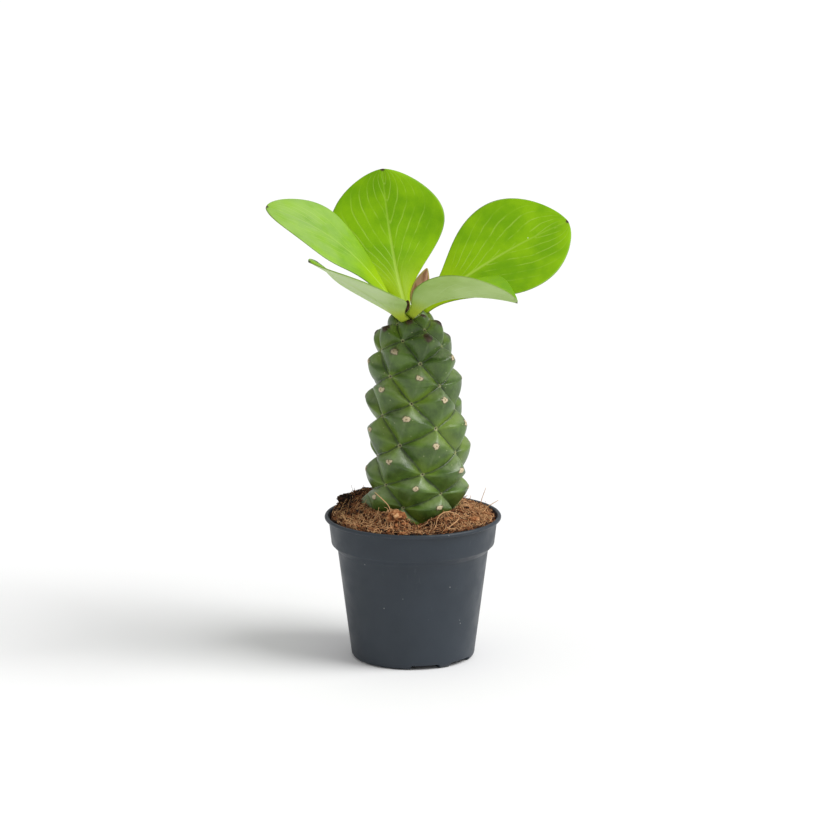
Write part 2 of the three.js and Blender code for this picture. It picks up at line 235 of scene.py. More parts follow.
class Shader:
    """Short names for the nodes that the materials share."""

    def __init__(self, name):
        self.material = bpy.data.materials.new(name)
        self.material.use_nodes = True
        self.tree = self.material.node_tree
        self.surface = self.tree.nodes["Principled BSDF"]
        self.coordinates = self.node("ShaderNodeTexCoord").outputs["Object"]

    def node(self, kind, **settings):
        made = self.tree.nodes.new(kind)
        for key, value in settings.items():
            setattr(made, key, value)
        return made

    def plug(self, value, socket):
        """Links a socket, or sets a number or colour."""
        if isinstance(value, bpy.types.NodeSocket):
            self.tree.links.new(value, socket)
        elif isinstance(value, tuple):
            socket.default_value = (*value, 1.0)
        else:
            socket.default_value = value

    def attribute(self, name):
        return self.node("ShaderNodeAttribute", attribute_name=name).outputs["Fac"]

    def noise(self, grain_mm, detail=3.0, roughness=0.5, stretch=None):
        made = self.node("ShaderNodeTexNoise")
        made.inputs["Scale"].default_value = 1000.0 / grain_mm
        made.inputs["Detail"].default_value = detail
        made.inputs["Roughness"].default_value = roughness
        source = self.coordinates
        if stretch:
            mapping = self.node("ShaderNodeMapping")
            mapping.inputs["Scale"].default_value = stretch
            self.plug(source, mapping.inputs["Vector"])
            source = mapping.outputs["Vector"]
        self.plug(source, made.inputs["Vector"])
        return made.outputs["Fac"]

    def spots(self, spacing_mm, radius):
        """1 inside small dots, about one in three cells of the given spacing."""
        made = self.node("ShaderNodeTexVoronoi")
        made.inputs["Scale"].default_value = 1000.0 / spacing_mm
        self.plug(self.coordinates, made.inputs["Vector"])
        near = self.remap(made.outputs["Distance"], radius, radius * 0.6)
        pick = self.node("ShaderNodeSeparateColor")
        self.plug(made.outputs["Color"], pick.inputs["Color"])
        return self.times(near, self.remap(pick.outputs["Red"], 0.62, 0.7))

    def remap(self, value, start, end, low=0.0, high=1.0):
        """Smooth step from low at start to high at end; start may be the larger."""
        made = self.node("ShaderNodeMapRange", interpolation_type="SMOOTHSTEP")
        rising = start < end
        made.inputs["From Min"].default_value = start if rising else end
        made.inputs["From Max"].default_value = end if rising else start
        made.inputs["To Min"].default_value = low if rising else high
        made.inputs["To Max"].default_value = high if rising else low
        self.plug(value, made.inputs["Value"])
        return made.outputs["Result"]

    def maths(self, operation, a, b):
        made = self.node("ShaderNodeMath", operation=operation)
        self.plug(a, made.inputs[0])
        self.plug(b, made.inputs[1])
        return made.outputs[0]

    def times(self, a, b):
        return self.maths("MULTIPLY", a, b)

    def plus(self, a, b):
        return self.maths("ADD", a, b)

    def mix(self, share, a, b):
        """Colour a where share is 0, b where it is 1."""
        made = self.node("ShaderNodeMix", data_type="RGBA")
        self.plug(share, made.inputs["Factor"])
        self.plug(a, made.inputs[6])
        self.plug(b, made.inputs[7])
        return made.outputs[2]

    def bump(self, height, depth_mm, strength=1.0):
        made = self.node("ShaderNodeBump")
        made.inputs["Distance"].default_value = depth_mm * MM
        made.inputs["Strength"].default_value = strength
        self.plug(height, made.inputs["Height"])
        self.plug(made.outputs["Normal"], self.surface.inputs["Normal"])

    def finish(self, colour, roughness):
        self.plug(colour, self.surface.inputs["Base Color"])
        self.plug(roughness, self.surface.inputs["Roughness"])
        return self.material


def pot_plastic():
    shader = Shader("pot_plastic")
    cloud = shader.noise(14.0, 4.0)
    grain = shader.noise(0.5, 2.0)
    dust = shader.spots(3.2, 0.085)
    scuffs = shader.remap(shader.noise(2.2, 5.0, 0.7, (1.0, 1.0, 0.25)), 0.62, 0.72, 0.0, 0.25)
    colour = shader.mix(cloud, (0.021, 0.028, 0.037), (0.033, 0.043, 0.056))
    colour = shader.mix(scuffs, colour, (0.075, 0.085, 0.095))
    colour = shader.mix(shader.times(dust, 0.55), colour, (0.30, 0.31, 0.30))
    shader.bump(shader.plus(shader.times(grain, 0.5), cloud), 0.08, 0.5)
    roughness = shader.remap(shader.noise(5.0, 4.0), 0.3, 0.7, 0.38, 0.5)
    shader.surface.inputs["Specular IOR Level"].default_value = 0.3
    return shader.finish(colour, shader.plus(roughness, shader.times(dust, 0.3)))


def coir(name, damp=0.0):
    """Coir, pith and bark: tint 0 is near black bark, 1 is pale, dried fibre."""
    shader = Shader(name)
    tint = shader.attribute("tint")
    grain = shader.noise(0.9, 4.0, 0.65)
    blend = shader.plus(tint, shader.times(shader.plus(grain, -0.5), 0.7))
    colour = shader.mix(shader.remap(blend, 0.05, 0.35), (0.018, 0.008, 0.005), (0.10, 0.040, 0.017))
    colour = shader.mix(shader.remap(blend, 0.3, 0.6), colour, (0.33, 0.125, 0.046))
    colour = shader.mix(shader.remap(blend, 0.55, 0.95), colour, (0.68, 0.40, 0.20))
    shader.bump(shader.noise(0.45, 4.0, 0.7), 0.25, 0.9)
    shader.surface.inputs["Specular IOR Level"].default_value = 0.2
    return shader.finish(colour, shader.remap(grain, 0.2, 0.8, 0.72 - damp, 0.95 - damp))


def stem_skin():
    shader = Shader("stem_skin")
    mottle = shader.noise(7.0, 4.0, 0.6)
    fine = shader.noise(0.7, 3.0)
    edge = shader.attribute("edge")
    blotch = shader.noise(2.2, 3.0, 0.6)
    ragged = shader.times(shader.plus(shader.noise(1.1, 3.0, 0.7), -0.5), 2.4)

    colour = shader.mix(shader.remap(mottle, 0.3, 0.7), (0.042, 0.084, 0.012), (0.098, 0.175, 0.030))
    # painted skylight: facets that face up are given a paler grey-green, a painted sheen of light from above
    sky_light_paint = shader.times(shader.attribute("painted_sky_light"), shader.remap(blotch, 0.3, 0.65, 0.25, 0.6))
    colour = shader.mix(sky_light_paint, colour, (0.225, 0.285, 0.145))
    flush = shader.times(shader.remap(edge, 0.30, 0.03), shader.remap(shader.noise(14.0, 2.0), 0.42, 0.62))
    colour = shader.mix(shader.times(flush, 0.6), colour, (0.17, 0.26, 0.022))
    ridge = shader.times(shader.attribute("ridge"), shader.remap(blotch, 0.35, 0.7, 0.0, 0.3))
    colour = shader.mix(ridge, colour, (0.20, 0.26, 0.12))
    # painted crease shade: a dark line along the cell edges stands in for shade in the creases
    painted_crease_shade = shader.plus(edge, shader.times(shader.plus(blotch, -0.5), 0.05))
    colour = shader.mix(shader.remap(painted_crease_shade, 0.045, 0.0, 0.0, 0.75), colour, (0.014, 0.028, 0.006))
    specks = shader.plus(shader.spots(1.9, 0.11), shader.spots(1.0, 0.07))
    colour = shader.mix(shader.times(specks, 0.8), colour, (0.46, 0.47, 0.25))

    pit = shader.plus(shader.attribute("bud"), shader.times(ragged, 0.25))
    colour = shader.mix(shader.remap(pit, 1.05, 0.65, 0.0, 0.7), colour, (0.36, 0.38, 0.17))
    colour = shader.mix(shader.remap(pit, 0.45, 0.34), colour, (0.035, 0.025, 0.012))

    scar = shader.plus(shader.attribute("scar"), ragged)
    colour = shader.mix(shader.remap(scar, 1.5, 1.15, 0.0, 0.7), colour, (0.085, 0.065, 0.028))
    cork = shader.remap(scar, 1.1, 0.9)
    colour = shader.mix(cork, colour, (0.56, 0.47, 0.30))
    heart = shader.plus(shader.attribute("scar"), shader.times(ragged, -0.8))
    colour = shader.mix(shader.remap(heart, 0.42, 0.22, 0.0, 0.75), colour, (0.20, 0.12, 0.06))
    young = shader.times(shader.remap(scar, 2.2, 1.0), shader.attribute("young"))
    colour = shader.mix(young, colour, (0.050, 0.026, 0.014))

    height = shader.plus(shader.times(fine, 0.3), shader.times(cork, 0.8))
    shader.bump(shader.plus(height, shader.times(mottle, 0.9)), 0.3, 0.9)
    roughness = shader.remap(mottle, 0.3, 0.7, 0.3, 0.42)
    shader.surface.inputs["Specular IOR Level"].default_value = 0.42
    return shader.finish(colour, shader.plus(roughness, shader.times(cork, 0.4)))


def leaf_skin():
    shader = Shader("leaf_skin")
    along = shader.attribute("along")
    across = shader.attribute("across")
    upper = shader.attribute("upper")
    patch = shader.noise(9.0, 3.0)
    fine = shader.noise(1.1, 3.0, 0.6)

    wander = shader.times(shader.plus(shader.noise(12.0, 2.0), -0.5), 0.9)
    phase = shader.plus(shader.attribute("vein"), wander)
    gap = shader.maths("PINGPONG", phase, 0.5)
    inner = shader.remap(across, 0.95, 0.45)
    side_vein = shader.times(shader.remap(gap, 0.11, 0.02), inner)
    side_vein = shader.times(side_vein, shader.remap(shader.noise(8.0, 3.0, 0.6), 0.36, 0.6))
    midrib = shader.remap(shader.plus(shader.attribute("midrib"), shader.times(along, 0.45)), 0.85, 0.4)
    midrib = shader.times(midrib, shader.remap(along, 1.0, 0.3, 0.3, 1.0))
    veins = shader.maths("MAXIMUM", shader.times(side_vein, 0.75), midrib)

    top = shader.mix(shader.remap(patch, 0.3, 0.7), (0.145, 0.335, 0.0008), (0.225, 0.44, 0.001))
    top = shader.mix(shader.remap(along, 0.45, 0.08, 0.0, 0.7), top, (0.37, 0.53, 0.004))
    top = shader.mix(shader.times(veins, 0.5), top, (0.45, 0.62, 0.10))
    top = shader.mix(shader.times(shader.spots(6.5, 0.045), 0.7), top, (0.62, 0.72, 0.40))
    # painted sheen: a pale grazing reflection laid on the outer upper face, its strength set per leaf
    sheen = shader.times(shader.attribute("painted_sheen"), shader.remap(shader.noise(7.0, 3.0), 0.25, 0.6, 0.5, 1.0))
    top = shader.mix(sheen, top, (0.33, 0.49, 0.15))

    under = shader.mix(shader.remap(patch, 0.3, 0.7), (0.325, 0.475, 0.125), (0.395, 0.545, 0.185))
    under = shader.mix(shader.times(veins, 0.3), under, (0.47, 0.60, 0.27))
    under = shader.mix(shader.remap(along, 0.28, 0.05, 0.0, 0.85), under, (0.40, 0.50, 0.022))

    colour = shader.mix(upper, under, top)
    rim = shader.remap(shader.attribute("margin"), 0.28, 0.08, 0.0, 0.4)
    colour = shader.mix(rim, colour, (0.16, 0.16, 0.06))
    colour = shader.mix(shader.remap(shader.attribute("tip"), 1.2, 0.5), colour, (0.06, 0.035, 0.02))
    relief = shader.plus(shader.times(veins, -0.8), shader.times(fine, 0.35))
    shader.bump(relief, 0.16, 0.55)
    shader.surface.inputs["Specular IOR Level"].default_value = 0.12
    return shader.finish(colour, shader.remap(patch, 0.3, 0.7, 0.34, 0.44))


def bract_skin():
    shader = Shader("bract_skin")
    streaks = shader.noise(1.2, 4.0, 0.6, (1.0, 1.0, 0.2))
    colour = shader.mix(shader.remap(streaks, 0.35, 0.65), (0.26, 0.095, 0.055), (0.52, 0.27, 0.19))
    colour = shader.mix(shader.remap(shader.attribute("margin"), 0.7, 0.25), colour, (0.50, 0.36, 0.12))
    shader.bump(streaks, 0.15, 0.6)
    return shader.finish(colour, shader.remap(streaks, 0.3, 0.7, 0.45, 0.65))


def dried_scale():
    shader = Shader("dried_scale")
    streaks = shader.noise(0.8, 4.0, 0.6, (1.0, 1.0, 0.3))
    colour = shader.mix(shader.remap(streaks, 0.35, 0.65), (0.030, 0.013, 0.007), (0.16, 0.072, 0.035))
    shader.bump(streaks, 0.2, 0.9)
    return shader.finish(colour, shader.remap(streaks, 0.3, 0.7, 0.7, 0.9))


def floor_paint():
    shader = Shader("floor_paint")
    cloud = shader.noise(300.0, 2.0)
    colour = shader.mix(cloud, (0.91, 0.91, 0.91), (0.94, 0.94, 0.94))
    return shader.finish(colour, 0.7)


# ---------------------------------------------------------------- pot

def pot_profile():
    """Radius and height round the pot's wall, from the pad out, up and back in."""
    lip_radius = RIM_R - LIP_R
    lip_height = POT_HEIGHT - LIP_R
    lip = []
    for degrees in range(-70, 200, 15):
        angle = math.radians(degrees)
        lip.append((lip_radius + LIP_R * math.cos(angle), lip_height + LIP_R * math.sin(angle)))
    outside = [
        (0.0, 0.0), (3.0, 0.0), (PAD_R, 0.0), (PAD_R + 0.2, 0.1), (PAD_R + 0.5, FOOT_HEIGHT),
        (10.0, FOOT_HEIGHT), (14.0, FOOT_HEIGHT), (17.6, FOOT_HEIGHT), (17.9, 0.1), (18.1, 0.0),
        (19.9, 0.0), (BASE_R, 0.1), (20.65, 0.35), (20.9, 0.8), (21.05, 1.4),
    ]
    outside += [(lerp(21.1, 25.6, t), lerp(2.0, 37.0, t)) for t in np.linspace(0, 1, 16)]
    outside += [
        (25.72, 37.25), (25.95, 37.5), (27.35, 39.0), (27.6, 39.25), (27.72, 39.6),
        (28.0, 42.0), (28.35, 45.0), (28.62, 47.2), (28.75, 47.55), (29.0, 47.65),
    ]
    inside = [
        (28.45, 48.3), (28.35, 47.6), (28.1, 45.0), (27.6, 40.3), (27.3, 39.8), (24.8, 37.5),
        (24.6, 37.0), (20.5, 3.2), (20.1, 2.6), (19.5, FLOOR_TOP), (10.0, FLOOR_TOP), (0.0, FLOOR_TOP),
    ]
    return outside + lip + inside


def in_notch(bearing):
    half_angle = math.degrees(NOTCH_WIDTH / 2 / BASE_R)
    return any(abs((bearing - centre + 180) % 360 - 180) < half_angle for centre in NOTCH_BEARINGS)


def drain_cutter(bearing):
    """A short round plug that a drain hole is cut with."""
    angle = math.radians(bearing)
    centre = np.array([DRAIN_CIRCLE_R * math.sin(angle), -DRAIN_CIRCLE_R * math.cos(angle), 0.0])
    turn = np.linspace(0, 2 * math.pi, 40, endpoint=False)
    circle = np.stack([DRAIN_R * np.cos(turn), DRAIN_R * np.sin(turn), np.zeros(40)], -1)
    rings = np.stack([centre + circle + (0, 0, z) for z in (-1.0, 4.0)])
    points, faces = ring_solid(rings)
    return make_object("drain_cutter", points, faces, bpy.data.materials["pot_plastic"])


def cut_with(obj, cutters):
    """Cuts each cutter out of obj for good, then deletes it."""
    for cutter in cutters:
        modifier = obj.modifiers.new("cut", "BOOLEAN")
        modifier.operation = "DIFFERENCE"
        modifier.object = cutter
        bpy.context.view_layer.objects.active = obj
        bpy.ops.object.modifier_apply(modifier=modifier.name)
        bpy.data.objects.remove(cutter)


def make_pot(material):
    profile = pot_profile()[1:-1]
    bearings = np.arange(POT_SEGMENTS) * 360.0 / POT_SEGMENTS
    turn = np.radians(bearings)
    notched = np.array([in_notch(bearing) for bearing in bearings])
    rings = []
    for radius, z in profile:
        level = np.full(POT_SEGMENTS, z)
        if radius > 17.7 and z < FOOT_HEIGHT:
            level[notched] = FOOT_HEIGHT
        rings.append(np.stack([radius * np.sin(turn), -radius * np.cos(turn), level], -1))
    points, faces = ring_solid(np.array(rings))
    pot = make_object("nursery_pot", points, faces, material)
    cut_with(pot, [drain_cutter(bearing) for bearing in DRAIN_BEARINGS])
    pot.data.set_sharp_from_angle(angle=math.radians(38))
    return add_piece(pot, "pot_plastic", "pot")


# ---------------------------------------------------------------- potting mix

def mound(x, y, centre, height, spread):
    return height * np.exp(-((x - centre[0]) ** 2 + (y - centre[1]) ** 2) / (2 * spread ** 2))


def mix_level(x, y):
    """Smooth level of the mix: a collar round the stem, heaps behind and in front."""
    radius = np.hypot(x, y)
    bearing = np.degrees(np.arctan2(x, -y))
    front_dip = 1.0 - 0.95 * np.exp(-((bearing - 8.0) / 15.0) ** 2)
    collar = 3.2 * np.exp(-((radius - 16.5) / 4.2) ** 2) * front_dip
    heap = mound(x, y, (-18.5, 13.5), 4.2, 6.5) + mound(x, y, (-6.5, -16.8), 2.2, 2.8)
    dip = mound(x, y, (3.0, -19.5), -1.3, 3.5)
    edge = -0.4 * smoothstep(radius, 25.0, MIX_EDGE_R)
    return MIX_LEVEL + collar + heap + dip + edge


def mix_tint(points):
    """How pale the mix is: paler at the right, darker at the back left."""
    x, y = points[:, 0], points[:, 1]
    darker_mounds = mound(x, y, (-20.0, 14.0), 0.42, 9.0) + mound(x, y, (4.0, -21.0), 0.12, 6.0)
    paler_mounds = mound(x, y, (21.0, -2.0), 0.20, 9.0) + mound(x, y, (-21.0, -9.0), 0.12, 8.0)
    return 0.43 + paler_mounds - darker_mounds


def make_mix(material):
    rows, columns = 120, 300
    share = np.linspace(0, 1, rows)
    radius = lerp(MIX_EDGE_R, MIX_CENTRE_R, share)[:, None]
    turn = np.linspace(0, 2 * math.pi, columns, endpoint=False)[None, :]
    x = radius * np.sin(turn)
    y = -radius * np.cos(turn)
    flat = np.stack([x, y, np.zeros_like(x)], -1).reshape(-1, 3)
    lumps = 1.0 * fractal(flat, 3.2, 3, 1.0) + 0.6 * fractal(flat, 0.9, 3, 4.0)
    top = np.stack([x, y, mix_level(x, y) + lumps.reshape(x.shape)], -1)
    skirt = top[:1].copy()
    skirt[..., 2] = MIX_FLOOR + 1.5
    bottom = skirt * (0.965, 0.965, 1.0)
    bottom[..., 2] = MIX_FLOOR
    rings = np.concatenate([bottom, skirt, top])
    points, faces = ring_solid(rings)
    tint = mix_tint(points) + 0.35 * fractal(points, 2.0, 3, 9.0) - 0.2
    mix = make_object("coir_mix_bed", points, faces, material, {"tint": tint})
    return add_piece(mix, "coir_mix", "potting_mix")


def on_mix(dice, inner=14.2, outer=27.3):
    """A random place on the mix, evenly spread between the two radii."""
    radius = math.sqrt(lerp(inner ** 2, outer ** 2, dice.random()))
    turn = dice.uniform(0, 2 * math.pi)
    x, y = radius * math.sin(turn), -radius * math.cos(turn)
    return x, y, float(mix_level(x, y))


def lump_shape(subdivisions):
    """Points and faces of a unit ball of triangles, to be roughened."""
    ball = bmesh.new()
    bmesh.ops.create_icosphere(ball, subdivisions=subdivisions, radius=1.0)
    points = np.array([vertex.co[:] for vertex in ball.verts])
    faces = [[vertex.index for vertex in face.verts] for face in ball.faces]
    ball.free()
    return points, faces


def make_crumbs(material):
    """Loose bits of pith and bark: one mesh of many small rough flakes."""
    dice = random.Random(RANDOM_SEED)
    ball, ball_faces = lump_shape(2)
    points, faces, tint = [], [], []
    for _ in range(CRUMB_COUNT):
        x, y, z = on_mix(dice)
        size = dice.choice((0.3, 0.4, 0.5, 0.65, 0.9))
        shape = np.array([size * dice.uniform(0.9, 2.3), size * dice.uniform(0.5, 0.9), size * 0.5])
        rough = 1.0 + 0.42 * fractal(ball, 0.7, 2, dice.uniform(0, 90))
        spin = Matrix.Rotation(dice.uniform(0, 6.28), 3, "Z")
        tilt = Matrix.Rotation(dice.uniform(-0.6, 0.6), 3, "X")
        centre = (x, y, z + dice.uniform(0.0, 0.9) * size)
        lump = (ball * rough[:, None] * shape) @ np.array(spin @ tilt).T + centre
        start = len(points) * len(ball)
        faces += [[start + index for index in face] for face in ball_faces]
        shade = float(mix_tint(np.array([[x, y, z]]))[0]) + dice.uniform(-0.5, 0.22)
        tint += [shade] * len(ball)
        points.append(lump)
    crumbs = make_object("coir_crumbs", np.concatenate(points), faces, material, {"tint": tint})
    return add_piece(crumbs, "coir_mix", "potting_mix")


def tube_rings(path, radius, sides):
    """Rings of points round a path; the tube thins towards both ends."""
    path = np.asarray(path, dtype=float)
    tangents = np.gradient(path, axis=0)
    turn = np.linspace(0, 2 * math.pi, sides, endpoint=False)
    rings = []
    for i, (point, tangent) in enumerate(zip(path, tangents)):
        tangent = tangent / np.linalg.norm(tangent)
        side = np.cross(tangent, (0.12, 0.31, 0.94))
        side = side / np.linalg.norm(side)
        other = np.cross(tangent, side)
        fade = 0.35 + 0.65 * math.sin(math.pi * (i + 0.5) / len(path)) ** 0.5
        circle = np.outer(np.cos(turn), other) + np.outer(np.sin(turn), side)
        rings.append(point - radius * fade * circle)
    return np.array(rings)


def join_tubes(name, tubes, tints, material):
    """One mesh object from several closed tubes, each with its own tint."""
    points, faces, tint = [], [], []
    count = 0
    for rings, shade in zip(tubes, tints):
        tube_points, tube_faces = ring_solid(rings)
        faces += [[count + index for index in face] for face in tube_faces]
        points.append(tube_points)
        tint += [shade] * len(tube_points)
        count += len(tube_points)
    return make_object(name, np.concatenate(points), faces, material, {"tint": tint})


def smooth_path(knots, steps):
    """A Catmull-Rom curve through the knots."""
    knots = np.asarray(knots, dtype=float)
    ends = np.concatenate([[2 * knots[0] - knots[1]], knots, [2 * knots[-1] - knots[-2]]])
    path = []
    for position in np.linspace(0, len(knots) - 1.0001, steps):
        i = int(position)
        t = position - i
        a, b, c, d = ends[i:i + 4]
        path.append(0.5 * (2 * b + (c - a) * t + (2 * a - 5 * b + 4 * c - d) * t ** 2
                           + (3 * b - a - 3 * c + d) * t ** 3))
    return np.array(path)


def curly_knots(dice, x, y, length, rise):
    """A wandering path over the mix that starts at (x, y) and may lift at its end."""
    steps = 5
    heading = dice.uniform(0, 2 * math.pi)
    knots = []
    for step in range(steps):
        lift = dice.uniform(0.1, 1.3) + rise * (step / (steps - 1)) ** 2
        knots.append((x, y, float(mix_level(x, y)) + lift))
        heading += dice.uniform(-0.9, 0.9)
        x += length / steps * math.cos(heading)
        y += length / steps * math.sin(heading)
        reach = math.hypot(x, y)
        keep = min(max(reach, 15.0), 27.4) / reach
        x, y = x * keep, y * keep
    return knots


def make_strands(material):
    """Short curly fibres matted into the top of the mix, as one mesh."""
    dice = random.Random(RANDOM_SEED + 1)
    tubes, tints = [], []
    for number in range(STRAND_COUNT):
        x, y, z = on_mix(dice, inner=15.0, outer=27.2)
        rise = 2.4 if number % 23 == 0 else 0.0
        knots = curly_knots(dice, x, y, dice.uniform(1.8, 6.5), rise)
        tubes.append(tube_rings(smooth_path(knots, 9), dice.uniform(0.06, 0.13), 4))
        tints.append(float(mix_tint(np.array([[x, y, z]]))[0]) + dice.uniform(-0.15, 0.8))
    return add_piece(join_tubes("coir_strands", tubes, tints, material), "coir_fibre", "potting_mix")


FIBRES = {
    "coir_fibre_arc": dict(radius=0.17, tint=0.95, knots=(
        (7.6, -19.0, -0.2), (8.4, -17.8, 2.6), (11.0, -17.0, 4.2), (14.5, -16.5, 4.2), (17.2, -15.4, 2.4))),
    "coir_fibre_front": dict(radius=0.15, tint=0.9, knots=(
        (15.6, -15.8, 3.4), (15.0, -17.4, 2.4), (13.0, -20.2, 1.6), (10.6, -22.8, 0.6))),
    "coir_fibre_left": dict(radius=0.13, tint=1.0, knots=(
        (-12.9, -15.5, 10.4), (-10.4, -17.0, 7.6), (-8.0, -18.0, 4.0), (-6.6, -18.8, 0.0))),
    "coir_fibre_upright": dict(radius=0.12, tint=0.9, knots=(
        (22.6, 2.0, -0.3), (23.2, 1.2, 4.5), (24.8, 0.0, 9.8))),
    "coir_fibre_right": dict(radius=0.14, tint=0.95, knots=(
        (22.4, -1.6, 0.2), (24.0, -2.0, 2.6), (26.4, -2.3, 4.6), (29.0, -2.5, 6.4))),
}


def make_fibres(material):
    for name, fibre in FIBRES.items():
        knots = [(x, y, float(mix_level(x, y)) + lift) for x, y, lift in fibre["knots"]]
        rings = tube_rings(smooth_path(knots, 28), fibre["radius"], 8)
        strand = join_tubes(name + "_strand", [rings], [fibre["tint"]], material)
        add_piece(strand, "coir_fibre", name)


CHUNKS = {
    "bark_chunk_left": dict(place=(-23.0, 9.5), size=(3.0, 1.9, 1.5), bearing=30, tint=-0.02, seed=1.0),
    "bark_chunk_back": dict(place=(-15.5, 19.0), size=(3.0, 2.0, 1.6), bearing=-20, tint=-0.1, seed=5.0),
    "coir_chunk_front": dict(place=(-5.4, -18.6), size=(3.0, 2.0, 1.9), bearing=15, tint=0.52, seed=8.0),
    "coir_chunk_right": dict(place=(20.6, -9.5), size=(2.6, 1.9, 1.1), bearing=60, tint=0.6, seed=3.0),
}


def make_chunks(bark_material, coir_material):
    ball, ball_faces = lump_shape(5)
    for name, chunk in CHUNKS.items():
        x, y = chunk["place"]
        rough = 1.0 + 0.30 * fractal(ball, 0.9, 3, chunk["seed"])
        rough += 0.24 * fractal(ball, 0.3, 3, chunk["seed"])
        turn = np.array(Matrix.Rotation(math.radians(chunk["bearing"]), 3, "Z"))
        centre = (x, y, float(mix_level(x, y)) + 0.45 * chunk["size"][2])
        points = (ball * rough[:, None] * chunk["size"]) @ turn.T + centre
        tint = chunk["tint"] + 1.1 * (rough - 1.0)
        is_bark = name.startswith("bark")
        material = bark_material if is_bark else coir_material
        lump = make_object(name + "_lump", points, ball_faces, material, {"tint": tint})
        add_piece(lump, "bark" if is_bark else "coir_lump", name)


# ---------------------------------------------------------------- stem

def barrel_radius(z):
    return BARREL_R - BARREL_TAPER * ((z - BARREL_Z) / (SHOULDER_Z - BARREL_Z)) ** 2


def stem_profile():
    """Radius and height of the groove surface: a barrel, then a rounded crown."""
    low = np.linspace(STEM_FOOT_Z, SHOULDER_Z, int(STEM_RINGS * 0.68), endpoint=False)
    settle = smoothstep(low, 45.0, 52.0)
    low_radius = lerp(STEM_FOOT_R, barrel_radius(low), settle)
    angle = (math.pi / 2) * np.linspace(0, 1, STEM_RINGS - len(low), endpoint=False) ** 1.15
    shoulder = barrel_radius(SHOULDER_Z)
    high_radius = shoulder * np.cos(angle) ** (2 / CROWN_POWER)
    high = SHOULDER_Z + CROWN_HEIGHT * np.sin(angle) ** (2 / CROWN_POWER)
    return np.concatenate([low_radius, high_radius]), np.concatenate([low, high])


def growth_index(radius, z):
    """Tubercle number along the profile: steps shrink with the radius in the crown."""
    middle = (radius[1:] + radius[:-1]) / 2
    height = (z[1:] + z[:-1]) / 2
    crowding = 1.0 - FOOT_CROWDING * (1.0 - smoothstep(height, 60.0, 72.0))
    rise = TUBERCLE_RISE * crowding * np.maximum((middle / BARREL_R) ** 0.9, 0.2)
    index = np.concatenate([[0.0], np.cumsum(np.hypot(np.diff(radius), np.diff(z)) / rise)])
    return index - index[np.argmax(z > FIRST_Z)]


def soft_minimum(values, softness):
    return -softness * np.log(sum(np.exp(-value / softness) for value in values))


def tubercles(index, turn, radius):
    """The tubercle pattern at each growth index and bearing from tubercle 0.

    u and v count along the two spiral families, so each cell between whole
    numbers and a half is one tubercle, a rhombus with its scar above the middle.
    """
    u = (-STEP_5_DEG * index + 5 * turn) / 360
    v = (STEP_3_DEG * index - 3 * turn) / 360
    a, b = u - np.round(u), v - np.round(v)
    above, below = 0.5 - SCAR_OFFSET, 0.5 + SCAR_OFFSET
    facets = ((0.5 - a) / above, (0.5 + a) / below, (0.5 - b) / above, (0.5 + b) / below)
    inward = np.clip(soft_minimum(facets, RIDGE_SOFTNESS), 0, 1)
    to_edge = np.minimum(0.5 - np.abs(a), 0.5 - np.abs(b))

    def distance_mm(cell_u, cell_v):
        """Distance over the skin to the point at these spiral counts."""
        there = 3 * cell_u + 5 * cell_v
        bearing = (360 * cell_u + STEP_5_DEG * there) / 5
        across = np.radians(turn - bearing) * radius
        along = (index - there) * TUBERCLE_RISE * radius / BARREL_R
        return np.hypot(across, along)

    scar = distance_mm(np.round(u) + SCAR_OFFSET, np.round(v) + SCAR_OFFSET)
    bud = distance_mm(np.floor(u) + 0.5, np.floor(v) + 0.5)
    # painted skylight mask: 1 on the facets above the scar, which face up
    facing_up = smoothstep(a + b, 2 * SCAR_OFFSET - 0.05, 2 * SCAR_OFFSET + 0.1)
    ridge = smoothstep(-np.abs(a - b), -0.06, -0.01) * smoothstep(inward, 0.12, 0.4)
    number = 3 * np.round(u) + 5 * np.round(v)
    return dict(inward=inward, edge=to_edge, scar=scar, bud=bud, painted_sky_light=facing_up, ridge=ridge, number=number)


def axis_offset(z):
    return STEM_LEAN + STEM_BOW * np.exp(-((z - BOW_Z) / BOW_SPREAD) ** 2)


